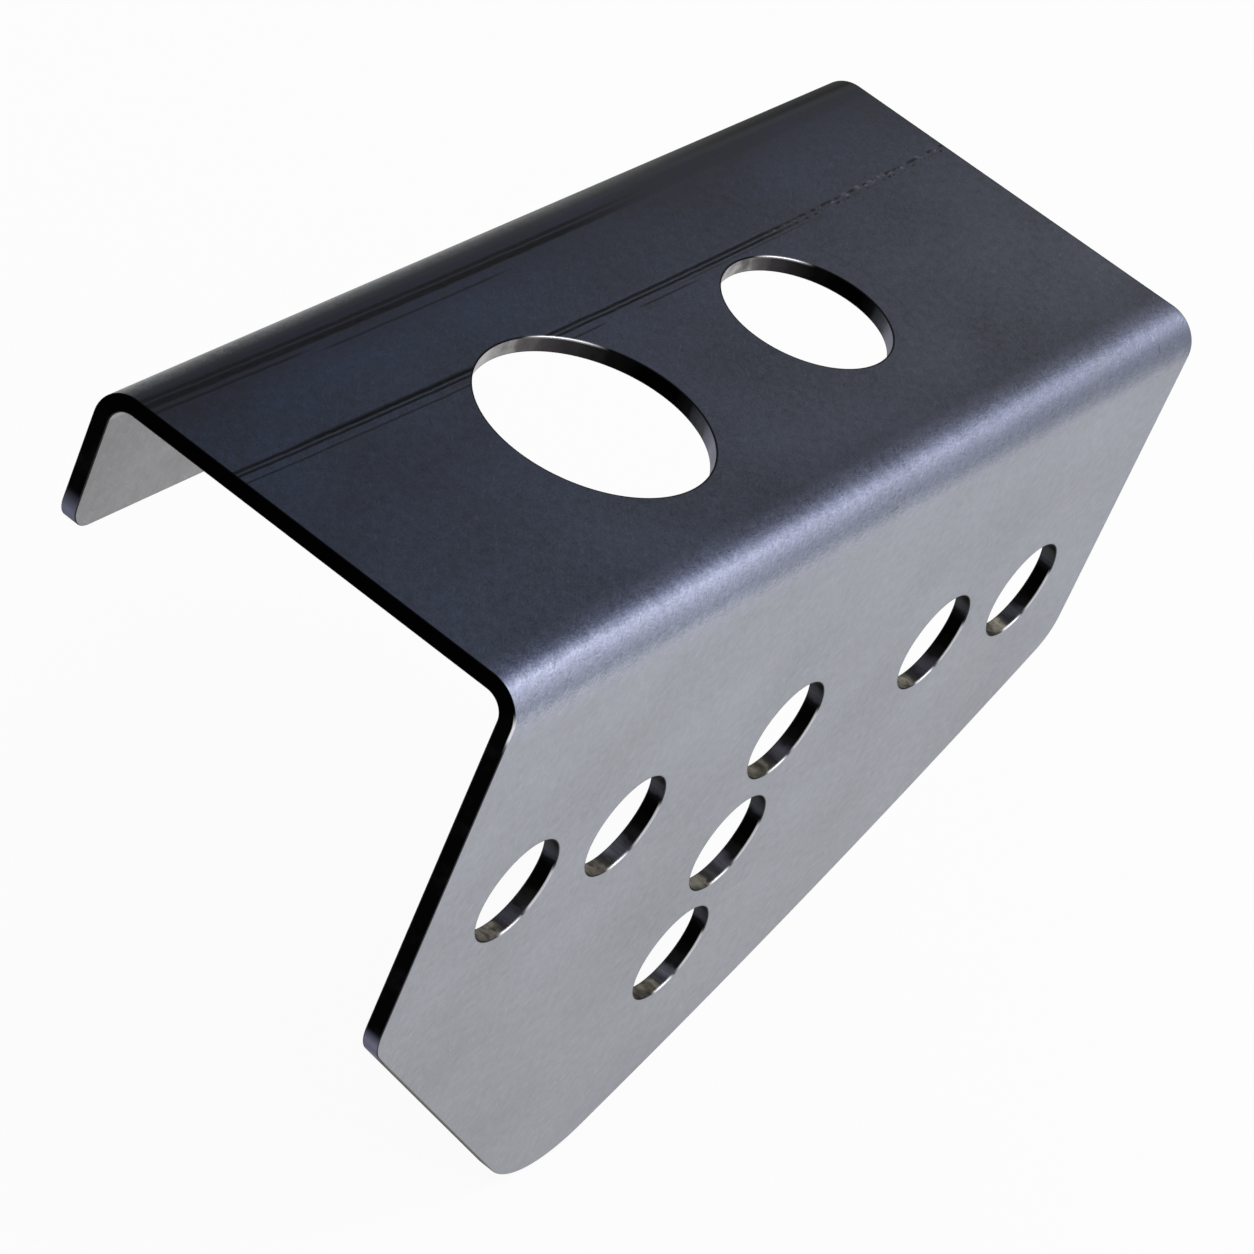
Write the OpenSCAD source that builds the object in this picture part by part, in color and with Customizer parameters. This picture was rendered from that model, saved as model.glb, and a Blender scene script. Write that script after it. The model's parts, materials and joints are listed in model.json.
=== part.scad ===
// Button mounting bracket, laser cut and folded from one steel sheet.
// The plate lies flat, the front flange hangs from its front edge and carries the push buttons,
// and a short return flange stiffens its back edge.
// The origin is the centre of the plate's large hole, on the top face.
// X runs along the folds, Y points to the back and Z points up.

/* [Sheet] */
// Thickness of the sheet
sheet = 3; // [1.5:0.1:4]
// Inner radius of both folds
fold_r = 3.5; // [1:0.1:6]

/* [Plate] */
// Length of the bracket along the folds
plate_l = 200; // [195:1:240]
// Depth over both flanges' outer faces
plate_d = 83; // [75:1:110]
// Large hole's diameter
large_hole_d = 40; // [20:0.5:44]
// Large hole's centre from the left end
large_hole_x = 68; // [55:1:80]
// Small hole's diameter
small_hole_d = 30; // [16:0.5:36]
// Distance between the two holes' centres
hole_pitch = 61; // [50:1:80]
// Both holes' centres from the front flange's outer face
hole_y = 38.5; // [33:0.5:42]

/* [Return flange] */
// Depth of the return flange from the top face
return_h = 28; // [18:1:40]
// Radius of the return flange's two corners
return_corner_r = 5; // [1:0.5:8]

/* [Front flange outline] */
// Depth of the left end, where its line meets the short edge's
left_h = 70.5; // [65:0.5:78]
// Lowest corner from the left end, where the short and long edges' lines meet
low_x = 75; // [65:1:90]
// Depth of the lowest corner, where the short and long edges' lines meet
low_h = 141; // [130:1:155]
// Depth of the right end, where its line meets the long edge's
right_h = 69; // [64:0.5:80]
// Radius of the long edge, which bows outwards
long_edge_r = 730; // [400:10:2000]
// Radius of the lowest corner
low_corner_r = 25; // [5:1:28]
// Radius of the left and right corners
end_corner_r = 8; // [1:0.5:10]

/* [Button holes] */
// Diameter of the holes, for push buttons with a 19 mm neck
button_d = 19; // [12:0.5:19.5]
// Depth of the row of five, whose middle hole is halfway along the flange
row_h = 49; // [40:0.5:52]
// First and last hole of the row from the flange's ends
end_gap = 25; // [22:1:30]
// From each of those two to its neighbour
next_gap = 29; // [21:0.5:34]
// Depth from one hole to the next in the column of three
column_pitch = 23.5; // [21:0.5:26]
// How far each hole in the column stands to the left of the one above
column_shift = 2.4; // [0:0.1:5]

/* [Hidden] */

$fn = 96;
fold_outer_r = fold_r + sheet;
cut = 1;

// The front flange's outline has X along the fold and Y up, with the top face at 0.
left_corner = [0, -left_h];
low_corner = [low_x, -low_h];
right_corner = [plate_l, -right_h];
short_dir = unit(low_corner - left_corner);
short_inward = [-short_dir.y, short_dir.x];
long_chord = right_corner - low_corner;
long_centre = (low_corner + right_corner) / 2
    + turned(unit(long_chord)) * sqrt(pow(long_edge_r, 2) - pow(norm(long_chord) / 2, 2));
long_facets = 1440;

// The five holes of the row, then the two below the middle one
row_x = [end_gap, end_gap + next_gap, plate_l / 2, plate_l - end_gap - next_gap, plate_l - end_gap];
button_holes = [
    for (x = row_x) [x, -row_h],
    for (i = [1:2]) [plate_l / 2 - i * column_shift, -row_h - i * column_pitch]
];

function unit(v) = v / norm(v);
function turned(v) = [-v.y, v.x];

// Centre of the fillet between two straight edges that leave the corner in the unit directions a and b
function straight_fillet(corner, a, b, r) =
    corner + unit(a + b) * r / sqrt((1 - a * b) / 2);

// Centre of the fillet where a straight edge from `start`, in the unit direction `dir`,
// runs out through the long edge; `inward` points into the sheet
function arc_fillet(start, dir, inward, r) =
    let (base = start + inward * r, w = base - long_centre, along = dir * w)
    base + dir * (sqrt(pow(along, 2) - w * w + pow(long_edge_r - r, 2)) - along);

// Where the fillet round `c` touches the long edge
function on_long_edge(c) = long_centre + unit(c - long_centre) * long_edge_r;

// What a fillet cuts away: the corner between the two touching points, outside the circle
module corner_waste(corner, touch_a, centre, touch_b, r) {
    difference() {
        polygon([corner + unit(corner - centre) * cut, touch_a, centre, touch_b]);
        translate(centre) circle(r);
    }
}

// One fold, a quarter of a ring in section, running along X
module fold() {
    color("lightsteelblue")
    rotate([90, 0, 90])
    linear_extrude(plate_l)
    intersection() {
        difference() {
            circle(fold_outer_r);
            circle(fold_r);
        }
        translate([-fold_outer_r, 0]) square(fold_outer_r);
    }
}

module plate() {
    color("slategray")
    difference() {
        translate([0, fold_outer_r, -sheet])
        cube([plate_l, plate_d - 2 * fold_outer_r, sheet]);
        translate([large_hole_x, hole_y, -sheet - cut])
        cylinder(h = sheet + 2 * cut, d = large_hole_d);
        translate([large_hole_x + hole_pitch, hole_y, -sheet - cut])
        cylinder(h = sheet + 2 * cut, d = small_hole_d);
    }
}

module front_outline() {
    left_c = straight_fillet(left_corner, [0, 1], short_dir, end_corner_r);
    low_c = arc_fillet(left_corner, short_dir, short_inward, low_corner_r);
    right_c = arc_fillet([plate_l, 0], [0, -1], [-1, 0], end_corner_r);
    difference() {
        intersection() {
            polygon([
                [0, -fold_outer_r],
                left_corner,
                low_corner + short_dir * low_h,
                [plate_l, -2 * low_h],
                [plate_l, -fold_outer_r]
            ]);
            translate(long_centre) circle(long_edge_r, $fn = long_facets);
        }
        corner_waste(left_corner, left_c - [end_corner_r, 0], left_c,
            left_c - short_inward * end_corner_r, end_corner_r);
        corner_waste(low_corner, low_c - short_inward * low_corner_r, low_c,
            on_long_edge(low_c), low_corner_r);
        corner_waste(right_corner, on_long_edge(right_c), right_c,
            right_c + [end_corner_r, 0], end_corner_r);
    }
}

module front_flange() {
    color("lightslategray")
    translate([0, sheet, 0])
    rotate([90, 0, 0])
    linear_extrude(sheet)
    difference() {
        front_outline();
        for (hole = button_holes) translate(hole) circle(d = button_d);
    }
}

module return_flange() {
    left_c = [return_corner_r, return_corner_r - return_h];
    right_c = [plate_l - return_corner_r, return_corner_r - return_h];
    color("darkgray")
    translate([0, plate_d, 0])
    rotate([90, 0, 0])
    linear_extrude(sheet)
    difference() {
        translate([0, -return_h]) square([plate_l, return_h - fold_outer_r]);
        corner_waste([0, -return_h], left_c - [return_corner_r, 0], left_c,
            left_c - [0, return_corner_r], return_corner_r);
        corner_waste([plate_l, -return_h], right_c - [0, return_corner_r], right_c,
            right_c + [return_corner_r, 0], return_corner_r);
    }
}

module bracket() {
    translate([-large_hole_x, -hole_y, 0]) {
        plate();
        translate([0, fold_outer_r, -fold_outer_r]) fold();
        translate([plate_l, plate_d - fold_outer_r, -fold_outer_r]) rotate([0, 0, 180]) fold();
        front_flange();
        return_flange();
    }
}

bracket();
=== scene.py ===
# %% [markdown]
# # A button mounting bracket, dressed from its CAD solid
#
# The real object is one laser cut sheet of raw rolled steel, 3 mm thick, folded twice.
# The plate lies flat, a deep pointed flange hangs from its front edge and a short return flange from its
# back edge. The CAD solid already has the exact form. What it lacks is what the eye reads as steel: broken
# edges that catch the light, a rolled skin that runs round the folds, and dark laser cut walls.
#
# So this notebook draws the sheet again as a flat pattern, folds it with one formula, and gives it two
# finishes, one for the rolled faces and one for the cut edges.

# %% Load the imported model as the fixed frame
import json
import math

import bpy
import numpy as np
from mathutils import Matrix, Vector, geometry


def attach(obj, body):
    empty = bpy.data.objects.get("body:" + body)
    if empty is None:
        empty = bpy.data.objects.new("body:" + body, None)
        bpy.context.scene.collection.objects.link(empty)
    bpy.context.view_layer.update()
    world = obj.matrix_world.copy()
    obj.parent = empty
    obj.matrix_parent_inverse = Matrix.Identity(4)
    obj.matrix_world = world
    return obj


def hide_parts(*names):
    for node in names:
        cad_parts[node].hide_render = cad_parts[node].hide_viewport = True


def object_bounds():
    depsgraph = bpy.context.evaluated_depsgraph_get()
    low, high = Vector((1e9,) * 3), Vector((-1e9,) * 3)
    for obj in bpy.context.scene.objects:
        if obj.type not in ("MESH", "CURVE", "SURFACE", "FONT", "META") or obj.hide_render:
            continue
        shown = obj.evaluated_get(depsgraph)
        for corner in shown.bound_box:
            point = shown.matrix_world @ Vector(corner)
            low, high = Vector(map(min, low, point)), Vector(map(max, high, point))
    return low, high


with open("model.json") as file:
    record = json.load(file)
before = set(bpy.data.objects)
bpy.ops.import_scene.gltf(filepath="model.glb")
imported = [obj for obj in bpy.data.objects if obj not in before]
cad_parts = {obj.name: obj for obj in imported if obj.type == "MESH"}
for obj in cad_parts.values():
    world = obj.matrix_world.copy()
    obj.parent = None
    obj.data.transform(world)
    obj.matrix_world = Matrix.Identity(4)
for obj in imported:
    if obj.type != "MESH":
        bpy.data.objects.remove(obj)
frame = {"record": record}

cad_low, cad_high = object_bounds()
print("CAD box in mm", [round(1000 * side, 2) for side in cad_high - cad_low])

# %% [markdown]
# ## Camera
#
# A product photograph like this one is taken with a long lens from a little under a metre away, so the long
# edges stay nearly parallel. The camera is placed first, because every later choice is judged through it. It
# looks from the front left, down at about 34 degrees, and is rolled, so the folds rise to the right.

# %% Place the camera
CAMERA_AT = Vector((-0.6442, -0.2938, 0.4371))
CAMERA_AIM = Vector((0.0291, -0.0068, -0.0495))
CAMERA_ROLL = math.radians(23.745)
LENS_MM = 154.47


def camera_axes(at, aim, roll):
    """Right, up and backward axes: the level right and up, both turned by the roll about the view."""
    view = (aim - at).normalized()
    level_right = view.cross(Vector((0, 0, 1))).normalized()
    level_up = level_right.cross(view)
    right = level_right * math.cos(roll) + level_up * math.sin(roll)
    up = level_up * math.cos(roll) - level_right * math.sin(roll)
    return right, up, -view


camera_data = bpy.data.cameras.new("camera")
camera_data.lens = LENS_MM
camera_data.sensor_width = 36
camera_data.clip_start = 0.05
camera = bpy.data.objects.new("camera", camera_data)
bpy.context.scene.collection.objects.link(camera)
bpy.context.scene.camera = camera
turn = Matrix(camera_axes(CAMERA_AT, CAMERA_AIM, CAMERA_ROLL)).transposed().to_4x4()
camera.matrix_world = Matrix.Translation(CAMERA_AT) @ turn
print("camera is", round((CAMERA_AIM - CAMERA_AT).length, 3), "m from the bracket")

# %% [markdown]
# ## The flat pattern
#
# A folded part starts as a flat pattern: an outline and nine round holes, cut before the sheet is bent.
# Working in the pattern has two uses here. The outline is one smooth loop, so a profile can be carried
# along it without corners, and the rolled grain runs straight through both folds, as it does on the real
# sheet. The pattern's coordinates are u, along the folds from the left end, and v, along the outer face
# from where the front fold leaves the plate: positive down the front flange, negative over the plate.

# %% Sizes of the sheet, in millimetres
SHEET = 3.0
FOLD_R = 3.5 + SHEET
FOLD_ARC = FOLD_R * math.pi / 2
LENGTH = 1000 * (cad_high.x - cad_low.x)
PLATE_FLAT = 1000 * (cad_high.y - cad_low.y) - 2 * FOLD_R
LEFT_X, FRONT_Y, TOP_Z = 1000 * cad_low.x, 1000 * cad_low.y, 1000 * cad_high.z

RETURN_H, RETURN_R = 28.0, 5.0
LEFT_CORNER, LOW_CORNER, RIGHT_CORNER = np.array([[0, -70.5], [75, -141], [LENGTH, -69]])
LONG_R, LOW_R, END_R = 730.0, 25.0, 8.0
print(f"sheet {SHEET} mm, {LENGTH:.1f} mm long, plate flat {PLATE_FLAT:.1f} mm, fold arc {FOLD_ARC:.2f} mm")


# %% Fold the pattern
def folded(u, v, depth):
    """The place in mm, the outward normal and the way that v rises, at a depth below the outer face.

    The angle turned in each fold is the length gone into it over the outer radius, held between none and a
    quarter turn. Across the sheet, y is the front face plus the plate's length gone over, less what the two
    folds turn in; z falls by what they turn down and by the length gone down either flange.
    """
    turn_front = np.clip(v, 0, FOLD_ARC) / FOLD_R
    turn_back = np.clip(-PLATE_FLAT - v, 0, FOLD_ARC) / FOLD_R
    down = np.clip(v - FOLD_ARC, 0, None) + np.clip(-PLATE_FLAT - FOLD_ARC - v, 0, None)
    radius = FOLD_R - depth
    x = LEFT_X + u
    y = FRONT_Y + FOLD_R + np.clip(-v, 0, PLATE_FLAT) + radius * (np.sin(turn_back) - np.sin(turn_front))
    z = TOP_Z - FOLD_R + radius * (np.cos(turn_front) + np.cos(turn_back) - 1) - down
    normal = np.stack([0 * x, np.sin(turn_back) - np.sin(turn_front),
                       np.cos(turn_front) + np.cos(turn_back) - 1], axis=-1)
    forward = np.stack([0 * x, -np.cos(turn_front) * np.cos(turn_back),
                        np.sin(turn_back) - np.sin(turn_front)], axis=-1)
    return np.stack([x, y, z], axis=-1), normal, forward


# %% [markdown]
# ## The outline
#
# The front flange has a straight left end, a straight short edge, one long edge that bows outwards, and
# fillets between them. Each fillet is a circle that touches both its neighbours, so its centre is found
# first and its arc is then swept from one touching point to the other. The return flange has the same
# kind of fillets. Points lie about 1.4 mm apart, and closer on fillets and in the folds.

# %% Curves of the outline
STEP, FILLET_STEP, HOLE_STEP = 1.4, 0.8, 0.55
FOLD_ROWS = 20


def unit(vector):
    return vector / np.linalg.norm(vector)


def line(start, end):
    """Evenly spaced points from the start up to, but without, the end."""
    count = max(1, round(np.linalg.norm(end - start) / STEP))
    return start + np.linspace(0, 1, count, endpoint=False)[:, None] * (end - start)


def arc(centre, start, end, spacing=FILLET_STEP):
    """Points on the shorter arc round the centre, from the start up to, but without, the end."""
    a, b = start - centre, end - centre
    sweep = math.atan2(a[0] * b[1] - a[1] * b[0], a @ b)
    radius = np.linalg.norm(a)
    count = max(6, round(abs(sweep) * radius / spacing))
    angle = math.atan2(a[1], a[0]) + np.linspace(0, sweep, count, endpoint=False)
    return centre + radius * np.stack([np.cos(angle), np.sin(angle)], axis=1)


def fillet_to_long_edge(start, direction, inward, radius):
    """Centre of the circle that touches a straight edge and, from inside, the long edge's circle."""
    base = start + inward * radius
    gap = base - long_centre
    along = direction @ gap
    return base + direction * (math.sqrt(along ** 2 - gap @ gap + (LONG_R - radius) ** 2) - along)


chord = RIGHT_CORNER - LOW_CORNER
rise = math.sqrt(LONG_R ** 2 - (np.linalg.norm(chord) / 2) ** 2)
long_centre = (LOW_CORNER + RIGHT_CORNER) / 2 + unit(np.array([-chord[1], chord[0]])) * rise
short_dir = unit(LOW_CORNER - LEFT_CORNER)
short_in = np.array([-short_dir[1], short_dir[0]])
half_turn = math.sqrt((1 - short_dir[1]) / 2)
left_c = LEFT_CORNER + unit(short_dir + [0, 1]) * END_R / half_turn
low_c = fillet_to_long_edge(LEFT_CORNER, short_dir, short_in, LOW_R)
right_c = fillet_to_long_edge(np.array([LENGTH, 0.0]), np.array([0.0, -1.0]), np.array([-1.0, 0.0]), END_R)
print("fillet centres", left_c.round(2), low_c.round(2), right_c.round(2))


# %% Join the curves into one loop of the pattern
def down_to_v(points):
    """A height below the top face becomes a length down the outer face, past the front fold."""
    return np.stack([points[:, 0], FOLD_ARC - FOLD_R - points[:, 1]], axis=1)


def end_line(u, v_from, v_to):
    """The straight end of the sheet: fold rows where it bends, even steps where it is flat."""
    back = -PLATE_FLAT - FOLD_ARC
    knots = [v_from, back, -PLATE_FLAT, 0.0, FOLD_ARC, v_to]
    if v_from > v_to:
        knots = [v_from, FOLD_ARC, 0.0, -PLATE_FLAT, back, v_to]
    counts = [round(abs(b - a) / STEP) for a, b in zip(knots, knots[1:])]
    counts[1] = counts[3] = FOLD_ROWS
    v = np.concatenate([np.linspace(a, b, n, endpoint=False) for a, b, n in zip(knots, knots[1:], counts)])
    return np.stack([np.full(v.shape, u), v], axis=1)


on_long_low = long_centre + unit(low_c - long_centre) * LONG_R
on_long_right = long_centre + unit(right_c - long_centre) * LONG_R
flange = np.concatenate([
    arc(left_c, left_c - [END_R, 0], left_c - short_in * END_R),
    line(left_c - short_in * END_R, low_c - short_in * LOW_R),
    arc(low_c, low_c - short_in * LOW_R, on_long_low),
    arc(long_centre, on_long_low, on_long_right, STEP),
    arc(right_c, on_long_right, right_c + [END_R, 0]),
])
flange_end_v = down_to_v(np.array([right_c, left_c]))[:, 1]
back_v = FOLD_R - FOLD_ARC - PLATE_FLAT - RETURN_H
back_c = np.array([[LENGTH - RETURN_R, back_v + RETURN_R], [RETURN_R, back_v + RETURN_R]])
outline = np.concatenate([
    down_to_v(flange),
    end_line(LENGTH, flange_end_v[0], back_v + RETURN_R),
    arc(back_c[0], back_c[0] + [RETURN_R, 0], back_c[0] - [0, RETURN_R]),
    line(back_c[0] - [0, RETURN_R], back_c[1] - [0, RETURN_R]),
    arc(back_c[1], back_c[1] - [0, RETURN_R], back_c[1] - [RETURN_R, 0]),
    end_line(0.0, back_v + RETURN_R, flange_end_v[1]),
])
print(len(outline), "points round the outline")


# %% Holes, from the record's bore mounts
def in_plate(mount):
    """Whether a bore goes through the plate, and so has an upright axis."""
    return mount["axis"][2] > 0.5


def hole_loop(mount):
    """A circle in the pattern round the bore's centre, its radius times the cosine and sine of each angle."""
    x, y, z = np.array(mount["pos_m"]) * 1000
    v = FRONT_Y + FOLD_R - y if in_plate(mount) else FOLD_ARC - FOLD_R + TOP_Z - z
    radius = mount["dims"]["r_mm"]
    count = 4 * round(radius * math.pi / 2 / HOLE_STEP)
    angle = np.linspace(0, 2 * math.pi, count, endpoint=False)
    return np.array([x - LEFT_X, v]) + radius * np.stack([np.cos(angle), np.sin(angle)], axis=1)


bores = [mount for mount in frame["record"]["mounts"] if mount["kind"] == "bore"]
holes = [hole_loop(mount) for mount in bores]
print(len(holes), "holes, of diameters", [2 * mount["dims"]["r_mm"] for mount in bores])


# %% [markdown]
# ## Broken edges
#
# A laser leaves a square edge, and handling and brushing break it by about 0.15 mm, a little more round the
# button holes, which are deburred from the front. That thin round is what draws the bright lines on the
# rims of the real part, so it is modelled. One profile, a quarter round, the cut wall and a second quarter
# round, is carried along the outline and every hole.

# %% The edge's profile, carried along a loop
OUTLINE_ROUND, PLATE_ROUND, BUTTON_ROUND = 0.14, 0.14, 0.16
ROUND_STEPS = 5
WALL_STEPS = 4


def edge_profile(radius):
    """Distance into the sheet, depth, and how far the normal leans out and up, from outer to inner face."""
    turn = np.linspace(0, math.pi / 2, ROUND_STEPS + 1)
    wall = np.linspace(radius, SHEET - radius, WALL_STEPS + 1)[1:-1]
    inset = np.concatenate([radius * (1 - np.sin(turn)), 0 * wall, radius * (1 - np.sin(turn[::-1]))])
    depth = np.concatenate([radius * (1 - np.cos(turn)), wall, SHEET - radius * (1 - np.cos(turn[::-1]))])
    out = np.concatenate([np.sin(turn), 0 * wall + 1, np.sin(turn[::-1])])
    up = np.concatenate([np.cos(turn), 0 * wall, -np.cos(turn[::-1])])
    return inset, depth, out, up


def outward(loop):
    """Unit vectors that point out of the sheet: the chord between each point's neighbours, turned."""
    along = np.roll(loop, -1, axis=0) - np.roll(loop, 1, axis=0)
    turned = np.stack([along[:, 1], -along[:, 0]], axis=1)
    return turned / np.linalg.norm(turned, axis=1, keepdims=True)


def area_of(loop):
    """Signed area inside a loop, from the cross products of neighbouring points."""
    after = np.roll(loop, -1, axis=0)
    return 0.5 * np.sum(loop[:, 0] * after[:, 1] - loop[:, 1] * after[:, 0])


def turned_to(loop, sign):
    """The loop run round the way that gives its area this sign."""
    return loop if area_of(loop) * sign > 0 else loop[::-1]


def edge_strip(loop, radius):
    """A grid of points: one row for each point of the profile, one column for each of the loop.

    Gives each point's place, normal, pattern coordinates and the way that its stretch of edge faces.
    """
    inset, depth, out, up = [column[:, None] for column in edge_profile(radius)]
    away = outward(loop)
    pattern = loop[None] - inset[..., None] * away[None]
    place, normal, forward = folded(pattern[..., 0], pattern[..., 1], depth)
    side = away[None, :, :1] * [1.0, 0.0, 0.0] + away[None, :, 1:] * forward
    flat = np.concatenate([pattern, depth[..., None] + 0 * pattern[..., :1]], axis=-1)
    return place, out[..., None] * side + up[..., None] * normal, flat, side


def strip_quads(rows, columns):
    """Corner numbers of a grid's quads, closed round its columns."""
    here = np.arange(rows * columns).reshape(rows, columns)
    after = np.roll(here, -1, axis=1)
    return np.stack([here[:-1], here[1:], after[1:], after[:-1]], axis=-1).reshape(-1, 4)


loops = [turned_to(outline, 1)] + [turned_to(hole, -1) for hole in holes]
rounds = [OUTLINE_ROUND] + [PLATE_ROUND if in_plate(mount) else BUTTON_ROUND for mount in bores]
strips = [edge_strip(loop, radius) for loop, radius in zip(loops, rounds)]
print(sum(len(loop) for loop in loops), "columns in all the edge strips")

# %% [markdown]
# Only part of each rim catches a glint of the lamp, and these glints are painted. On the plate's holes that
# is a short stretch at the back right. On the button holes it is a bright crescent at the bottom and a
# fainter ring up the right side. The sheet's left end has a short painted glint just below the front fold.
# The painted glint is worked out here, mostly from the way that the edge faces, and stored on the mesh. It
# runs out over the next 0.3 mm of the face, which is where the next ring of points lies.

# %% Painted glints on the rims
OUTLINE_GLINT, PLATE_GLINT, RING_GLINT = 0.8, 0.8, 0.6


def step_up(values, low, high):
    """0 below low, 1 above high, smooth between: three squares less two cubes of the share of the way."""
    share = np.clip((values - low) / (high - low), 0, 1)
    return share * share * (3 - 2 * share)


def rim_glint(way, loop, is_outline, is_plate):
    """How strong the painted glint is at each point of a rim, by the way it faces, or on the outline by where
    it lies.
    """
    if is_outline:
        below_fold = step_up(loop[:, 1], 7, 9.5) * (1 - step_up(loop[:, 1], 11.5, 13.5))
        return OUTLINE_GLINT * below_fold * (loop[:, 0] < 1)
    if is_plate:
        return PLATE_GLINT * step_up(-way[:, 1], 0.5, 0.7) * step_up(-way[:, 0], 0.25, 0.5)
    crescent = step_up(way[:, 2], 0.8, 0.88) * step_up(-way[:, 0], 0.02, 0.16)
    ring = step_up(-way[:, 0], 0.6, 0.75) * step_up(way[:, 2], -0.1, 0.1)
    return np.maximum(crescent, RING_GLINT * ring)


kinds = [(True, False)] + [(False, in_plate(mount)) for mount in bores]
rim_glints = [rim_glint(side[0], loop, *kind) for (*_, side), loop, kind in zip(strips, loops, kinds)]
# Shows the strongest painted glint on any rim.
print("most polished rim", round(max(polish.max() for polish in rim_glints), 2))

# %% [markdown]
# ## Faces
#
# Both faces of the sheet use one triangulation of the pattern: the loops set in by the edge's round, rows
# of points along the folds, and a lattice in between, joined by a constrained Delaunay triangulation.
# Even triangles keep the shading calm, and the rows keep every fold round.

# %% Triangulate the pattern
LATTICE = 4.0
ROW_GAP = LATTICE * 0.87
PLATE_ROWS = 19
FOLD_GAP = 3
LOWEST_V = 150
HALO = 0.3
LATTICE_GAP = 1.9
MERGE_WITHIN = 1e-7
LEAST_HEIGHT = 0.01


def lattice():
    """Staggered points every few millimetres, and straight rows through both folds."""
    u = np.arange(LATTICE, LENGTH - LATTICE / 2, LATTICE)
    fold = np.linspace(0, FOLD_ARC, FOLD_ROWS + 1)
    v_front = np.arange(FOLD_ARC + FOLD_GAP, LOWEST_V, ROW_GAP)
    v_plate = np.linspace(-FOLD_GAP, FOLD_GAP - PLATE_FLAT, PLATE_ROWS)
    v_back = np.arange(-PLATE_FLAT - FOLD_ARC - FOLD_GAP, back_v, -ROW_GAP)
    flats = [np.stack(np.meshgrid(u, v), axis=-1) for v in (v_front, v_plate, v_back)]
    for rows in flats:
        rows[1::2, :, 0] += LATTICE / 2
    folds = [np.stack(np.meshgrid(u, v), axis=-1) for v in (fold, -PLATE_FLAT - fold)]
    return np.concatenate([rows.reshape(-1, 2) for rows in flats + folds])


def winding(points, loop):
    """How often a loop runs round each point: the turned angles to the loop's points, added up."""
    to = loop[None] - points[:, None]
    angle = np.unwrap(np.arctan2(to[..., 1], to[..., 0]), axis=1)
    closing = np.arctan2(to[:, 0, 1], to[:, 0, 0]) - angle[:, -1]
    closing = (closing + math.pi) % (2 * math.pi) - math.pi
    return np.round((angle[:, -1] - angle[:, 0] + closing) / (2 * math.pi))


def inside(points, bounds):
    """Whether each point lies inside the outline and outside the holes: all windings add up to one."""
    return sum(winding(points, loop) for loop in bounds) > 0.5


def clear_of_loops(points):
    """Whether each point is far enough from every loop to leave room for even triangles."""
    nearest = [np.min(np.hypot(*(points[:, None] - loop[None]).transpose(2, 0, 1)), axis=1) for loop in loops]
    return np.min(nearest, axis=0) > LATTICE_GAP


insets = [loop - radius * outward(loop) for loop, radius in zip(loops, rounds)]
halos = [loop - (radius + HALO) * outward(loop) for loop, radius in zip(loops, rounds)]
inner = lattice()
inner = inner[inside(inner, insets)]
inner = inner[clear_of_loops(inner)]
rim_points = np.concatenate(insets + halos)
starts = np.cumsum([0] + [len(loop) for loop in insets + halos])
rim_edges = np.concatenate([
    np.stack([np.arange(a, b), np.roll(np.arange(a, b), -1)], axis=1) for a, b in zip(starts, starts[1:])
])
points, _, triangles, *_ = geometry.delaunay_2d_cdt(
    np.concatenate([rim_points, inner]).tolist(), rim_edges.tolist(), [], 0, MERGE_WITHIN)
points, triangles = np.array(points), np.array(triangles)


def height_of(corners):
    """Each triangle's height over its longest side: twice its area over that side's length."""
    edges = corners - np.roll(corners, 1, axis=1)
    doubled = np.abs(edges[:, 0, 0] * edges[:, 1, 1] - edges[:, 0, 1] * edges[:, 1, 0])
    return doubled / np.max(np.linalg.norm(edges, axis=2), axis=1)


corners = points[triangles]
triangles = triangles[(height_of(corners) > LEAST_HEIGHT) & inside(corners.mean(axis=1), insets)]
print(len(points), "points and", len(triangles), "triangles on each face")

# %% [markdown]
# ## One closed skin
#
# The outer face, the inner face and the edge strips are put into one mesh. Points in the same micrometre
# are merged, so the skin is closed. The shape has no sharp corner anywhere, so every point has one true
# normal, and giving it to Blender keeps flat faces flat and rounds round, with no guess from the triangles.

# %% Stack and merge the points
def skin_arrays():
    """Stacks the strips' and then both faces' points, normals, pattern coordinates and edge ways."""
    outer = folded(points[:, 0], points[:, 1], 0.0)
    inner_face = folded(points[:, 0], points[:, 1], SHEET)
    level = np.zeros((len(points), 1))
    columns = [[grid.reshape(-1, 3) for grid in strip] for strip in strips]
    columns.append([outer[0], outer[1], np.hstack([points, level]), 0 * outer[1]])
    columns.append([inner_face[0], -inner_face[1], np.hstack([points, level + SHEET]), 0 * outer[1]])
    return [np.concatenate(stack) for stack in zip(*columns)]


place, normal, flat, edge_way = skin_arrays()
polish = np.concatenate([np.tile(column, len(strip[0])) for column, strip in zip(rim_glints, strips)]
                        + [np.zeros(2 * len(points))])
strip_starts = np.cumsum([0] + [strip[0].shape[0] * strip[0].shape[1] for strip in strips])
strip_sizes = [strip[0].shape[:2] for strip in strips]
quads = np.concatenate([start + strip_quads(*size) for start, size in zip(strip_starts, strip_sizes)])
outer_faces = triangles + strip_starts[-1]
inner_faces = triangles[:, ::-1] + strip_starts[-1] + len(points)

STEPS_PER_MM = 1000
keys = np.round(place * STEPS_PER_MM).astype(np.int64)
_, kept, alike = np.unique(keys, axis=0, return_index=True, return_inverse=True)
alike = alike.reshape(-1)
print(len(kept), "points after merging", len(place))


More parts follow.
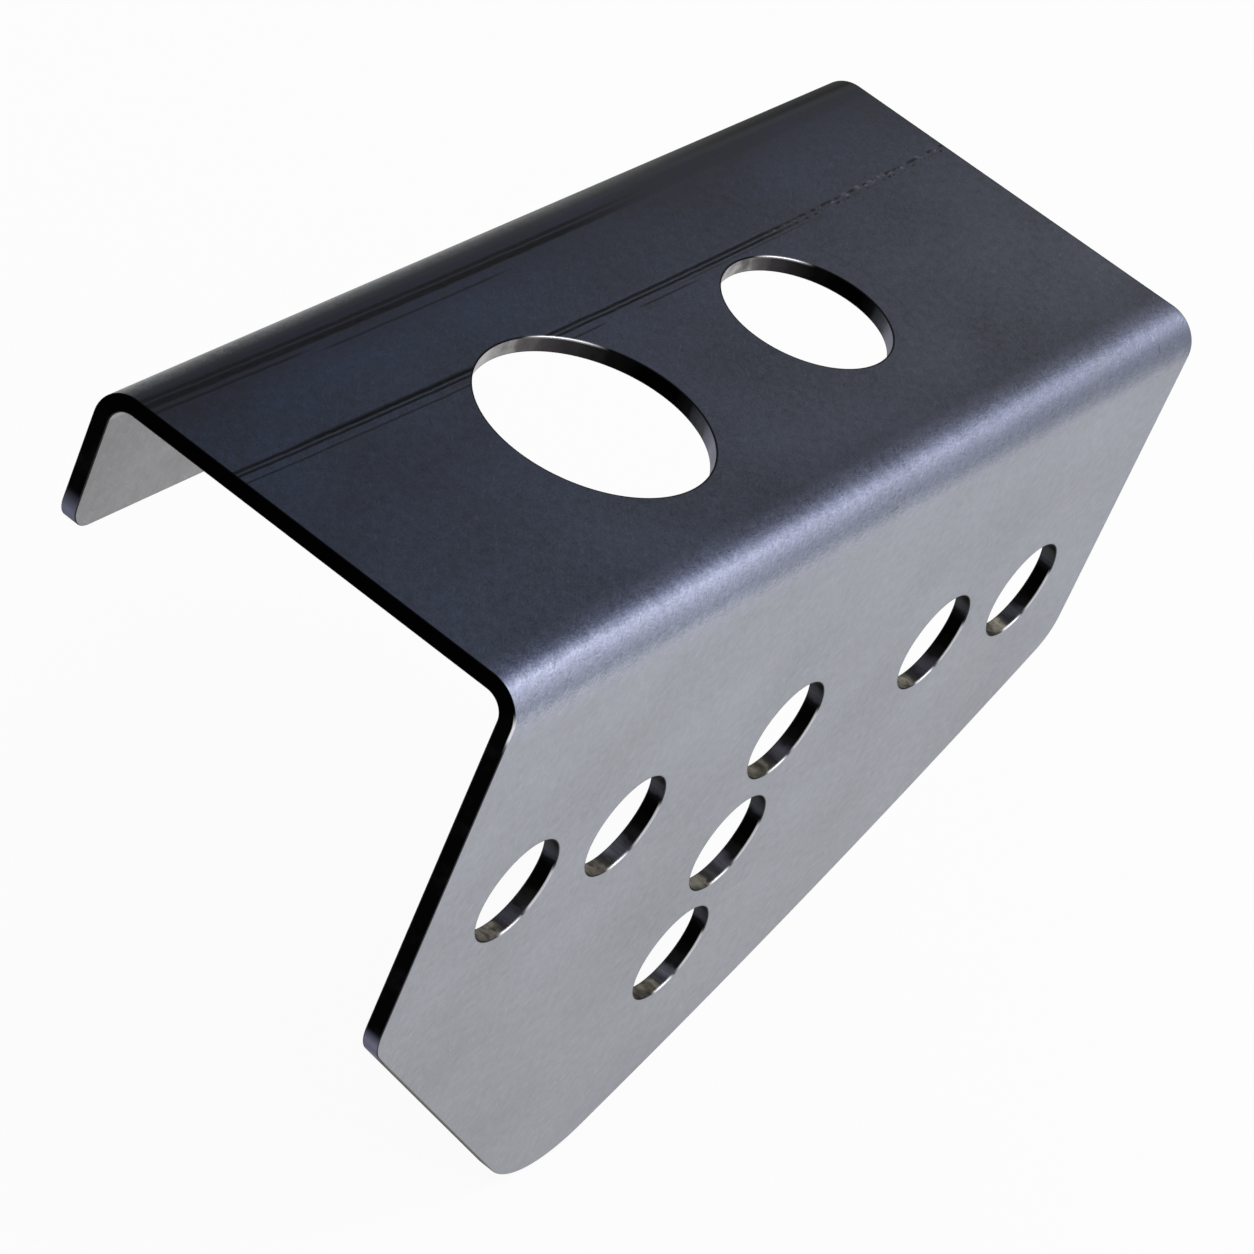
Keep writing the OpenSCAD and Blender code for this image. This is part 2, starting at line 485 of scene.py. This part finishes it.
# %% Turn every face outwards and build the mesh
def turned_out(faces):
    """The same faces, the other way round if their corners run against the true normals."""
    edge_a = place[faces[:, 1]] - place[faces[:, 0]]
    edge_b = place[faces[:, -1]] - place[faces[:, 0]]
    return faces if np.sum(np.cross(edge_a, edge_b) * normal[faces[:, 0]]) > 0 else faces[:, ::-1]


def build_mesh(name):
    """Puts the arrays into a mesh, with pattern, edge way and painted glint as attributes, and the true
    normals.
    """
    mesh = bpy.data.meshes.new(name)
    tri = alike[np.concatenate([turned_out(outer_faces), turned_out(inner_faces)])]
    wall = alike[turned_out(quads)]
    mesh.vertices.add(len(kept))
    mesh.vertices.foreach_set("co", (place[kept] * 0.001).astype(np.float32).ravel())
    mesh.loops.add(tri.size + wall.size)
    mesh.loops.foreach_set("vertex_index", np.concatenate([tri.ravel(), wall.ravel()]).astype(np.int32))
    sizes = np.concatenate([np.full(len(tri), 3), np.full(len(wall), 4)])
    mesh.polygons.add(len(sizes))
    mesh.polygons.foreach_set("loop_start", (np.cumsum(sizes) - sizes).astype(np.int32))
    mesh.polygons.foreach_set("material_index", (sizes == 4).astype(np.int32))
    for attribute, values in (("pattern", flat), ("edge_way", edge_way)):
        layer = mesh.attributes.new(attribute, "FLOAT_VECTOR", "POINT")
        layer.data.foreach_set("vector", values[kept].astype(np.float32).ravel())
    layer = mesh.attributes.new("polish", "FLOAT", "POINT")
    layer.data.foreach_set("value", polish[kept].astype(np.float32))
    mesh.update(calc_edges=True)
    print("mesh needed repair:", mesh.validate())
    mesh.polygons.foreach_set("use_smooth", np.ones(len(mesh.polygons), bool))
    mesh.normals_split_custom_set_from_vertices(normal[kept].tolist())
    return mesh


bracket = bpy.data.objects.new("bracket_sheet", build_mesh("bracket_sheet"))
bpy.context.scene.collection.objects.link(bracket)
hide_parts("bracket")
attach(bracket, "root")
print(len(bracket.data.vertices), "points,", len(bracket.data.polygons), "faces")

# %% [markdown]
# ## Shader maths
#
# A finish is mostly arithmetic on a few fields. The small class below wraps one socket of a material, so
# that fields can be added and multiplied as ordinary values; each operator adds one Math node. Colours go
# through its `add` method, which makes any other node.

# %% A socket that can be added and multiplied
class Field:
    """One socket of a material, which can be added, multiplied and fed to other nodes."""

    def __init__(self, tree, socket):
        self.tree, self.socket = tree, socket

    def add(self, kind, settings=None, values=None, out=0):
        """Adds a node: its settings first, then the values or links of its sockets. Gives one output."""
        node = self.tree.nodes.new(kind)
        for name, setting in (settings or {}).items():
            if name == "stops":
                self._set_stops(node.color_ramp.elements, setting)
            else:
                setattr(node, name, setting)
        for name, value in (values or {}).items():
            socket = node.inputs[name]
            if isinstance(value, Field):
                self.tree.links.new(value.socket, socket)
            else:
                socket.default_value = value
        return Field(self.tree, node.outputs[out])

    @staticmethod
    def _set_stops(elements, stops):
        while len(elements) < len(stops):
            elements.new(0.5)
        for element, (position, colour) in zip(elements, stops):
            element.position = position
            element.color = colour

    def math(self, operation, *others):
        return self.add("ShaderNodeMath", {"operation": operation}, dict(enumerate((self,) + others)))

    def __add__(self, other): return self.math("ADD", other)
    def __radd__(self, other): return self.math("ADD", other)
    def __sub__(self, other): return self.math("SUBTRACT", other)
    def __rsub__(self, other): return self.math("MULTIPLY", -1).math("ADD", other)
    def __mul__(self, other): return self.math("MULTIPLY", other)
    def __rmul__(self, other): return self.math("MULTIPLY", other)
    def __truediv__(self, other): return self.math("DIVIDE", other)
    def __rtruediv__(self, other): return self.math("POWER", -1).math("MULTIPLY", other)
    def __pow__(self, other): return self.math("POWER", other)
    def __neg__(self): return self.math("MULTIPLY", -1)

    def part(self, axis):
        return self.add("ShaderNodeSeparateXYZ", {}, {"Vector": self}, out="XYZ".index(axis))

    def rise(self, low, high):
        """0 below low, 1 above high, smooth between."""
        return self.add("ShaderNodeMapRange", {"interpolation_type": "SMOOTHSTEP"},
                        {"Value": self, "From Min": low, "From Max": high})

    def within(self, from_none, from_full, to_full, to_none):
        """1 over a stretch and 0 outside it, smooth at both ends: one rise times what another leaves."""
        return self.rise(from_none, from_full) * (1 - self.rise(to_full, to_none))

    def scaled(self, x, y, z):
        return self.add("ShaderNodeVectorMath", {"operation": "MULTIPLY"}, {0: self, 1: (x, y, z)})

    def moved(self, x, y):
        return self.add("ShaderNodeVectorMath", {"operation": "ADD"}, {0: self, 1: (x, y, 0)})

    def turned(self, degrees):
        return self.add("ShaderNodeVectorRotate", {"rotation_type": "Z_AXIS"},
                        {"Vector": self, "Angle": math.radians(degrees)})

    def noise(self, scale, detail=2.0, roughness=0.5, distortion=0.0):
        """Noise about 0, mostly between -0.5 and 0.5."""
        return self.add("ShaderNodeTexNoise", {}, {"Vector": self, "Scale": scale, "Detail": detail,
                                                   "Roughness": roughness, "Distortion": distortion}) - 0.5

    def between(self, none, full):
        """The colour that this value gives, from one colour at 0 to another at 1."""
        return self.add("ShaderNodeMix", {"data_type": "RGBA"}, {0: self, 6: none, 7: full}, out=2)

    def tint(self, other, factor):
        """This colour mixed with another by a factor."""
        return factor.between(self, other)

    def shade(self, amount):
        """This colour times a number."""
        return self.add("ShaderNodeVectorMath", {"operation": "SCALE"}, {0: self, "Scale": amount})


def linear(red, green, blue):
    """A colour given in screen levels, as the linear values that a shader takes."""
    levels = np.array([red, green, blue]) / 255
    values = np.where(levels <= 0.04045, levels / 12.92, ((levels + 0.055) / 1.055) ** 2.4)
    return (*values.tolist(), 1.0)


def ramp(field, low, high, as_colour, stops):
    """A colour for each value from low to high, smooth between stops with colours given in screen levels."""
    placed = [((at - low) / (high - low), as_colour(*picked)) for at, picked in stops]
    return field.add("ShaderNodeValToRGB", {"stops": placed}, {"Fac": (field - low) / (high - low)})


def new_material(name):
    """A material, its Principled shader and the mesh's three attributes as Fields."""
    material = bpy.data.materials.new(name)
    material.use_nodes = True
    tree = material.node_tree
    start = Field(tree, None)
    pattern = start.add("ShaderNodeAttribute", {"attribute_name": "pattern"}, out=1)
    edge_way = start.add("ShaderNodeAttribute", {"attribute_name": "edge_way"}, out=1)
    polish = start.add("ShaderNodeAttribute", {"attribute_name": "polish"}, out=2)
    return material, tree.nodes["Principled BSDF"], pattern, edge_way, polish


def plug(field, shader, name):
    field.tree.links.new(field.socket, shader.inputs[name])


# %% [markdown]
# ## Rolled steel
#
# The faces are raw rolled steel, and their tones are painted reflection and painted highlight. The plate is
# painted a dark blue grey, a little lighter and warmer to the right, for the dark surroundings that it
# mirrors;
# the front flange is a light lilac grey for the pale floor that it mirrors; the front fold carries a painted
# highlight, the brightest part, and the back fold a painted sheen and painted shade. All of it is one finish,
# so it is one material: two ramps along v give the tones at the left and the right end, and u mixes them.

# %% Painted tones across the sheet
TONE_FROM, TONE_TO = -110.0, 140.0
METAL_SHARE = 0.02


def steel(red, green, blue):
    """The base colour of a metal that should look like a given colour, less the lamps' own share."""
    look = np.array(linear(red, green, blue)[:3])
    return (*np.clip((look - METAL_SHARE) / (1 - METAL_SHARE), 0.001, 1).tolist(), 1.0)


face_material, face_shader, pattern, _, face_glint = new_material("rolled_steel")
u, v, depth = pattern.part("X"), pattern.part("Y"), pattern.part("Z")
to_right = u / LENGTH

# %% [markdown]
# The painted highlight over the fold has a ragged edge, because the crowns of the rolled grain shine first.
# Shifting v a little by fields that vary along the fold, before the ramps are read, gives that edge.

# %% Ragged painted highlight over the fold
over_fold = v.within(-2.5, 0.5, 9, 13)
streaks = pattern.scaled(1, 0.3, 0).noise(0.5, 4.0, 0.6)
crackle = pattern.scaled(0.85, 1, 0).noise(2.6, 4.0, 0.75, 0.8)
ragged_v = v + over_fold * (streaks * 1.1 + crackle * 1.7)
# The stops paint light: a painted sheen, then painted shade, over the back fold; the plate's dark tone as a
# painted reflection of dark surroundings; the painted highlight over the front fold; and the flange's pale
# tone as a painted reflection of the floor.
left_tone = ramp(ragged_v, TONE_FROM, TONE_TO, steel, [
    (-100, (118, 120, 126)),
    (-73.6, (104, 106, 110)),
    (-72.4, (84, 86, 90)),
    (-71, (33, 39, 50)),
    (-69, (32, 37, 48)),
    (-60, (44, 49, 61)),
    (-33, (50, 54, 66)),
    (-3, (56, 60, 71)),
    (0, (68, 72, 88)),
    (1.13, (88, 93, 115)),
    (2.27, (134, 140, 163)),
    (3.4, (177, 182, 206)),
    (4.6, (172, 177, 200)),
    (6.8, (143, 148, 167)),
    (8, (150, 155, 172)),
    (9.3, (167, 171, 187)),
    (11, (168, 171, 183)),
    (15, (162, 165, 173)),
    (130, (145, 147, 154)),
])
right_tone = ramp(ragged_v, TONE_FROM, TONE_TO, steel, [
    (-100, (118, 120, 126)),
    (-79, (90, 92, 97)),
    (-75, (30, 31, 36)),
    (-72, (16, 19, 28)),
    (-69.5, (36, 41, 52)),
    (-62, (46, 50, 61)),
    (-33, (61, 64, 74)),
    (-12, (66, 69, 78)),
    (-3, (62, 64, 74)),
    (0, (90, 94, 110)),
    (1.13, (124, 129, 151)),
    (2.27, (150, 155, 178)),
    (3.4, (144, 149, 171)),
    (5, (116, 121, 139)),
    (6.8, (111, 116, 133)),
    (9.3, (132, 136, 150)),
    (11, (149, 152, 163)),
    (15, (153, 156, 166)),
    (130, (149, 152, 159)),
])
outer_tone = left_tone.tint(right_tone, to_right)
inner_tone = steel(172, 171, 173)
on_inner = depth.rise(1.2, 1.8)
tone = outer_tone.tint(inner_tone, on_inner)
print("tones run along v from", TONE_FROM, "to", TONE_TO, "mm")

# %% [markdown]
# ## Grain, patches and pits
#
# Close up, rolled steel is never even. It has a fine grain, short crosswise hatching, soft patches a few
# centimetres across, and here and there a pit or a bright speck. Each is one noise field at its own
# scale. The dark plate shows them at least three times as strongly as the pale flange does.

# %% Grain and patches
FLANGE_CONTRAST = 0.33
DENT_SHIFT = (0.12, 0.32)
on_plate = v.within(-78, -73, -1, 3) * (1 - on_inner)
to_back = 1 - v.rise(-66, -30)
contrast = FLANGE_CONTRAST + on_plate * (1 - FLANGE_CONTRAST + to_back * 0.5)
hatch = pattern.scaled(1, 0.4, 1).noise(2.2, 3.0, 0.6, 0.4)
grain = pattern.noise(4.0, 3.0, 0.7)
mottle = pattern.noise(0.55, 2.0)
patches = pattern.scaled(1, 1.4, 1).noise(0.03, 2.0)


def dents(field):
    """Fine noise less the same noise a third of a millimetre further on: one side light, one side dark."""
    return field.noise(0.9, 3.0, 0.6, 1.2) - field.moved(*DENT_SHIFT).noise(0.9, 3.0, 0.6, 1.2)


relief = dents(pattern)
texture = hatch * 0.55 + grain * 2.2 + mottle * 0.9 + patches * 1.05 + relief * (0.2 + on_plate * 0.8)


# %% Pits, specks and short scratches
def spots(field, spacing, radius, share):
    """Small round spots: near a scattered point's centre, and only where its random number is low."""
    cells = field.add("ShaderNodeTexVoronoi", {}, {"Vector": field, "Scale": 1 / spacing})
    chance = Field(field.tree, cells.socket.node.outputs["Color"]).part("X")
    near = 1 - cells.rise(radius / spacing * 0.5, radius / spacing)
    return near * (1 - chance.rise(share, share + 0.02))


def scratches(field, degrees, length, width, share):
    """Spots in a turned and stretched pattern are short straight scratches."""
    return spots(field.turned(degrees).scaled(1 / length, 1 / width, 1), 1.0, 0.32, share)


pits = spots(pattern, 6.0, 0.22, 0.35)
specks = spots(pattern.scaled(1, 1.1, 1), 5.1, 0.17, 0.4)
light_marks = scratches(pattern, 35, 4.0, 0.5, 0.3) + scratches(pattern, -70, 3.0, 0.4, 0.25)
dark_marks = scratches(pattern, 75, 3.5, 0.5, 0.2)
cracks = scratches(pattern, 8, 2.2, 0.5, 0.28) * over_fold


def scuff(at_u, at_v, degrees, length, width):
    """One soft scratch at a known place: its distance is measured along and across its own direction."""
    own = pattern.moved(-at_u, -at_v).turned(degrees)
    along, across = own.part("X") / length, own.part("Y") / width
    return 1 - (along * along + across * across).rise(0.1, 1)


pale_scuffs = scuff(188.2, 3.4, 60, 1.0, 0.22) + scuff(190.4, 2.2, 20, 0.7, 0.2)
pale_scuffs = pale_scuffs + scuff(100.8, 8.6, 0, 0.5, 0.2)
dark_scuffs = scuff(188.9, 5.6, 70, 1.3, 0.25) + scuff(103.2, 8.0, 3, 1.7, 0.25)
warm_cloud = pattern.noise(0.05, 3.0, 0.6).rise(0.02, 0.3)
warm_dots = pattern.noise(0.5, 3.0).rise(0.2, 0.3)
warm_spots = (warm_cloud * 0.3 + warm_dots * 0.4) * (1 - on_plate)
marks = (specks * 0.5 + light_marks * 0.3 - pits * 0.5 - dark_marks * 0.25) * (contrast + 0.15)
marks = marks - cracks * 0.18 + pale_scuffs * 0.4 - dark_scuffs * 0.35

# %% [markdown]
# ## Roller marks
#
# A pair of dark lines runs the whole length of the plate a little behind the holes, where the sheet
# rubbed on a guide. They bow slightly, thin lines run beside them, and towards the right they break up
# into dashes with bare bright metal between. Fainter ones follow the back fold. Each line is a narrow
# band about one curve, v as a function of u, with a wobble.

# %% Lines along the sheet
MARKS_BACK, MARKS_BOW, BOW_MIDDLE = 49.05, 1.35, 95
bow = (u - BOW_MIDDLE) / 100
wobble = pattern.scaled(1, 0, 0).noise(0.12, 4.0, 0.7) * 0.5
centre_v = -(MARKS_BACK + bow * bow * MARKS_BOW) + wobble


def line_at(offset, half_width):
    """A soft line beside the roller marks' centre; a positive offset lies towards the front."""
    distance = (v - centre_v - offset).math("ABSOLUTE")
    return 1 - distance.rise(half_width * 0.4, half_width)


broken = pattern.scaled(1, 0.5, 0).noise(0.5, 3.0, 0.6)
other_broken = pattern.scaled(0.8, 0.9, 0).noise(0.9, 3.0, 0.6)
far_right = u.rise(138, 156)
uneven = 0.85 + pattern.scaled(0.3, 2.2, 0).noise(1.2, 4.0, 0.7) * 1.6
wide = u.within(10, 25, 55, 75)
back_line = line_at(-0.5, 0.42) + line_at(-0.75, 0.55) * wide * 0.6
back_line = back_line * (1 - far_right * broken.rise(-0.1, 0.04))
front_line = line_at(0.42, 0.34) * (1 - far_right * other_broken.rise(-0.12, 0.0))
dark_lines = (back_line + front_line) * uneven
thin_gaps = u.within(88, 92, 99, 103) + u.rise(112, 120)
thin_lines = line_at(2.1, 0.26) * (1 - thin_gaps) * uneven * 0.6
middle_line = line_at(1.25, 0.22) * u.within(110, 118, 140, 165) * 0.45
bare = line_at(-0.2, 0.3) * u.rise(125, 150) * other_broken.rise(0.05, 0.15)
bright_bits = bare + line_at(-0.7, 0.5) * u.rise(150, 165) * broken.rise(0.06, 0.2) * 0.7
fading = (1 - u.rise(100, 135)) * uneven
back_lines = line_at(-17.9, 0.8) * fading * 0.65 + line_at(-19.2, 0.5) * fading * 0.55
back_lines = back_lines + line_at(-16.3, 0.35) * (1 - u.rise(30, 40)) * 0.4
back_lines = back_lines + line_at(-15.3, 0.3) * u.within(36, 42, 80, 90) * 0.35
back_band = line_at(-18.8, 2.2) * u.rise(10, 100) * 0.2
roller_dark = (dark_lines + thin_lines + middle_line + back_lines + back_band) * on_plate
print("roller marks lie about", round(MARKS_BACK + FOLD_R, 1), "mm behind the front face")

# %% [markdown]
# A thin dark line of painted shade lies on the face beside the cut, round each hole and along the right end.
# A washer has left part of a faint ring to the right of the small hole.

# %% Painted shade round the holes, and a washer's ring
def outside_circle(centre, radius):
    """Distance outside a circle in mm: the root of the summed squares from its centre, less the radius."""
    from_u, from_v = u - float(centre[0]), v - float(centre[1])
    return (from_u * from_u + from_v * from_v) ** 0.5 - radius


rim_distance = LENGTH - u
for loop, mount in zip(holes, bores):
    rim_distance = rim_distance.math("MINIMUM", outside_circle(loop.mean(axis=0), mount["dims"]["r_mm"]))
# Painted shade: a thin dark line on the face beside each rim, stronger on the plate.
rim_shade_line = (1 - rim_distance.rise(0.15, 0.42)) * (1 - on_inner) * (1 - face_glint)
rim_painted_shade = rim_shade_line * (0.25 + on_plate * 0.6)

SMALL_HOLE_UV, WASHER_R = (129, -32), 20.6
washer_ring = outside_circle(SMALL_HOLE_UV, WASHER_R).math("ABSOLUTE")
washer_mark = (1 - washer_ring.rise(0.1, 0.5)) * (u - SMALL_HOLE_UV[0]).rise(14, 19) * 0.2 * on_plate
print("dark line round", len(holes), "holes")

# %% [markdown]
# All of this comes together in one base colour, one roughness and one bump. The marks darken or brighten
# the metal's own colour, and the bump lets them catch the light a few hundredths of a millimetre deep.

# %% Put the face together
FACE_BUMP_M = 0.00004
scale_and_shade_tone, bare_tone = steel(10, 11, 13), steel(128, 118, 112)
warm_tone, face_glint_tone = steel(146, 140, 130), steel(240, 241, 248)
level = 1 + texture * contrast + marks + (streaks * 0.3 + crackle * 0.7 + relief * 0.7) * over_fold
colour = tone.shade(level).tint(warm_tone, warm_spots * 0.5)
colour = colour.tint(scale_and_shade_tone, (roller_dark + washer_mark).math("MINIMUM", 0.9))
colour = colour.tint(bare_tone, bright_bits * on_plate * 0.4)
# Painted shade beside the rims, in the scale's dark tone.
colour = colour.tint(scale_and_shade_tone, rim_painted_shade)
# Painted glints on the face beside the rims.
colour = colour.tint(face_glint_tone, face_glint ** 1.2 * 0.95)
plug(colour, face_shader, "Base Color")
face_shader.inputs["Metallic"].default_value = 1.0
plug(0.4 + grain * 0.16 + roller_dark * 0.15, face_shader, "Roughness")
height = grain * 0.25 + hatch * 0.3 + crackle * over_fold * 1.6 - pits * 0.8 - roller_dark * 0.8
face_bump = height.add("ShaderNodeBump", {}, {"Height": height, "Strength": 0.35, "Distance": FACE_BUMP_M})
plug(face_bump, face_shader, "Normal")

# %% [markdown]
# The back fold is seen at a grazing angle, where bare metal mirrors its surroundings. A plain dark surface
# is mixed in: as painted shade on the back fold, more of it towards the right, and in the line round each
# hole, and as dull scale in the guide's lines.

# %% Painted shade and dull scale
DULL = linear(22, 23, 25)
MOST_DULL = 0.95
fold_start = v.within(-75, -72.5, -71.5, -70) * 0.35
fold_right = v.within(-80, -77, -72, -70) * u.rise(60, 185) * 0.77
dull_lines = ((dark_lines + thin_lines) * (0.7 - far_right * 0.5) + back_lines * 1.1) * on_plate


def mix_dull(shader, share):
    """Mixes a plain dark surface into a metal one by a share that varies."""
    tree = share.tree
    metal = Field(tree, shader.outputs[0])
    dull = share.add("ShaderNodeBsdfDiffuse", {}, {"Color": DULL})
    surface = share.add("ShaderNodeMixShader", {}, {0: share.math("MINIMUM", MOST_DULL), 1: metal, 2: dull})
    tree.links.new(surface.socket, tree.nodes["Material Output"].inputs["Surface"])


fold_painted_shade = fold_start.math("MAXIMUM", fold_right)
dull_marks_and_shade = dull_lines.math("MAXIMUM", rim_shade_line * on_plate * 0.8)
mix_dull(face_shader, fold_painted_shade.math("MAXIMUM", dull_marks_and_shade) * (1 - on_inner))

# %% [markdown]
# ## Cut edges
#
# A laser melts its way through and leaves an oxide wall with fine upright lines. The wall's tone round each
# circle is painted reflection: near black where it faces dark surroundings, paler and browner where it faces
# the floor. The broken rounds beside it carry painted shade, except for painted glints. The edge way
# attribute says which way each stretch of edge faces, and the tones are read from it.

# %% Walls, with painted reflections
edge_material, edge_shader, edge_pattern, edge_way, edge_glint = new_material("cut_edge")
edge_u, edge_v, edge_depth = edge_pattern.part("X"), edge_pattern.part("Y"), edge_pattern.part("Z")
way_x, way_y, way_z = edge_way.part("X"), edge_way.part("Y"), edge_way.part("Z")
wander = edge_pattern.scaled(1, 1, 0.3).noise(0.14, 2.0) * 0.28 + edge_pattern.noise(0.5, 3.0) * 0.22
lines = edge_pattern.scaled(1, 1, 0.06).noise(2.6, 3.0, 0.6)
WAY_LOW, WAY_HIGH = -1.1, 1.1
# Painted reflection on the walls, read from the way each stretch faces.
plate_wall_reflection = ramp(way_y + wander * 0.5, WAY_LOW, WAY_HIGH, linear, [
    (-1.0, (214, 212, 211)),
    (-0.96, (146, 143, 141)),
    (-0.86, (98, 95, 97)),
    (-0.7, (62, 61, 63)),
    (-0.5, (18, 18, 18)),
    (-0.25, (2, 2, 2)),
    (0.12, (1, 1, 1)),
    (0.3, (20, 20, 22)),
    (0.5, (82, 84, 91)),
    (0.7, (156, 158, 172)),
])
flange_wall_reflection = ramp(way_z + way_x * 0.2 + wander, WAY_LOW, WAY_HIGH, linear, [
    (-0.95, (70, 70, 74)),
    (-0.84, (34, 34, 35)),
    (-0.76, (50, 49, 50)),
    (-0.62, (66, 66, 70)),
    (-0.48, (64, 65, 72)),
    (-0.34, (18, 18, 20)),
    (-0.2, (4, 4, 5)),
    (0.1, (3, 3, 3)),
    (0.33, (8, 8, 7)),
    (0.56, (32, 32, 34)),
    (0.68, (84, 85, 94)),
    (0.78, (96, 97, 107)),
    (0.88, (62, 62, 67)),
    (0.93, (76, 75, 72)),
    (0.98, (140, 136, 124)),
    (1.03, (92, 89, 80)),
    (1.08, (44, 43, 39)),
])
on_flange = edge_v.rise(6, 10) + 1 - edge_v.rise(-80, -76)
wall_reflection_tone = plate_wall_reflection.tint(flange_wall_reflection, on_flange)
# A painted white reflection on the left walls of the plate's holes, and a painted lilac reflection on the
# left corners.
left_wall_reflection = way_x.rise(0.0, 0.36) * (1 - way_y.rise(-0.5, -0.2)) * (1 - on_flange)
left_wall_reflection_tone, corner_reflection_tone = linear(252, 252, 254), linear(116, 118, 138)
wall_reflection_tone = wall_reflection_tone.tint(left_wall_reflection_tone, left_wall_reflection)
on_short = edge_v.rise(70.5, 73.5) * (1 - edge_u.rise(66, 74))
left_corner_reflection = on_short * (1 - edge_u.rise(3, 6)) + (1 - edge_v.rise(-99.5, -94)) * (1 - edge_u.rise(2, 5))
wall_reflection_tone = wall_reflection_tone.tint(corner_reflection_tone, left_corner_reflection * 0.85)

# %% Broken rounds, with painted shade, painted reflection and painted glints
EDGE_BUMP_M = 0.00006
outer_round = 1 - edge_depth.rise(0.06, 0.2)
inner_round = edge_depth.rise(2.75, 2.9)
# The outer rounds carry painted shade, dark on the plate and grey on the flange, and a painted pale
# reflection on the short edge; the inner round carries a painted brownish reflection.
plate_round, flange_round, short_round = linear(12, 13, 16), linear(66, 67, 72), linear(142, 136, 126)
round_reflection_tone = on_flange.between(plate_round, flange_round).tint(short_round, on_short * edge_u.rise(3, 6))
inner_round_reflection, round_glint_tone = linear(56, 52, 50), steel(250, 250, 254)
edge_colour = wall_reflection_tone.shade(1 + lines * (0.35 + on_flange * 0.5))
edge_colour = edge_colour.tint(round_reflection_tone, outer_round)
edge_colour = edge_colour.tint(inner_round_reflection, inner_round)
# Painted glints on the rounds.
edge_colour = edge_colour.tint(round_glint_tone, edge_glint * (1 - edge_depth.rise(0.2, 0.4)))
plug(edge_colour, edge_shader, "Base Color")
edge_shader.inputs["Metallic"].default_value = 1.0
edge_shader.inputs["Specular Tint"].default_value = (0.5, 0.5, 0.5, 1)
plug(0.42 - edge_glint * 0.2 - left_wall_reflection * 0.3, edge_shader, "Roughness")
edge_bump = lines.add("ShaderNodeBump", {}, {"Height": lines, "Strength": 0.4, "Distance": EDGE_BUMP_M})
plug(edge_bump, edge_shader, "Normal")
# Painted shade: a plain dark surface on the outer rounds that face right.
mix_dull(edge_shader, outer_round * way_x.rise(0.1, 0.5) * (1 - edge_glint) * 0.8)

bracket.data.materials.append(face_material)
bracket.data.materials.append(edge_material)

# %% [markdown]
# ## Floor, light and background
#
# The part stands on a plain white floor in plain soft light. The floor's material looks white to the
# camera and in reflections, and is an ordinary pale surface to all other light, so it keeps the part's
# shadow. The world does the same for what lies beyond the floor.

# %% Floor
FLOOR_HALF = 4.0
GLOW_SHARE = 0.93


def sees_white(tree):
    """1 for rays from the camera, off a mirror or through glass, and 0 for all other light."""
    seen = Field(tree, None).add("ShaderNodeLightPath")
    rays = seen.socket.node.outputs
    mirrored, through = Field(tree, rays["Is Glossy Ray"]), Field(tree, rays["Is Transmission Ray"])
    return (seen + mirrored + through).math("MINIMUM", 1.0)


floor_mesh = bpy.data.meshes.new("floor")
corner = np.array([[-1, -1], [1, -1], [1, 1], [-1, 1]]) * FLOOR_HALF
floor_mesh.from_pydata(np.hstack([corner, np.full((4, 1), cad_low.z)]).tolist(), [], [[0, 1, 2, 3]])
floor = bpy.data.objects.new("floor", floor_mesh)
bpy.context.scene.collection.objects.link(floor)

floor_material = bpy.data.materials.new("floor_white")
floor_material.use_nodes = True
floor_tree = floor_material.node_tree
floor_tree.nodes.clear()
ground = Field(floor_tree, None)
white_glow = ground.add("ShaderNodeEmission", {}, {"Color": (1, 1, 1, 1), "Strength": 1.0})
pale = ground.add("ShaderNodeBsdfDiffuse", {}, {"Color": (0.8, 0.8, 0.8, 1)})
glow = sees_white(floor_tree) * GLOW_SHARE
mix = ground.add("ShaderNodeMixShader", {}, {0: glow, 1: pale, 2: white_glow})
out = floor_tree.nodes.new("ShaderNodeOutputMaterial")
floor_tree.links.new(mix.socket, out.inputs["Surface"])
floor_mesh.materials.append(floor_material)

# %% World
WORLD_LEVEL = 0.75
world = bpy.data.worlds.new("studio")
bpy.context.scene.world = world
world.use_nodes = True
world_tree = world.node_tree
strength = WORLD_LEVEL + sees_white(world_tree) * (1 - WORLD_LEVEL)
world_tree.links.new(strength.socket, world_tree.nodes["Background"].inputs["Strength"])
world_tree.nodes["Background"].inputs["Color"].default_value = (1, 1, 1, 1)


# %% Lamps
def softbox(name, direction, distance, size, power):
    """A square area lamp that looks at the bracket from a direction."""
    lamp_data = bpy.data.lights.new(name, "AREA")
    lamp_data.shape = "SQUARE"
    lamp_data.size = size
    lamp_data.energy = power
    lamp = bpy.data.objects.new(name, lamp_data)
    bpy.context.scene.collection.objects.link(lamp)
    way = Vector(direction).normalized()
    turned = way.to_track_quat("Z", "Y").to_matrix().to_4x4()
    lamp.matrix_world = Matrix.Translation(CAMERA_AIM + way * distance) @ turned
    print(name, "at", [round(c, 2) for c in lamp.matrix_world.translation])


softbox("top_softbox", (0.26, -0.38, 0.87), 1.2, 0.5, 3.0)
softbox("front_fill", (-0.3, -0.9, 0.5), 1.6, 1.2, 2.0)

bpy.context.scene.view_settings.view_transform = "Standard"
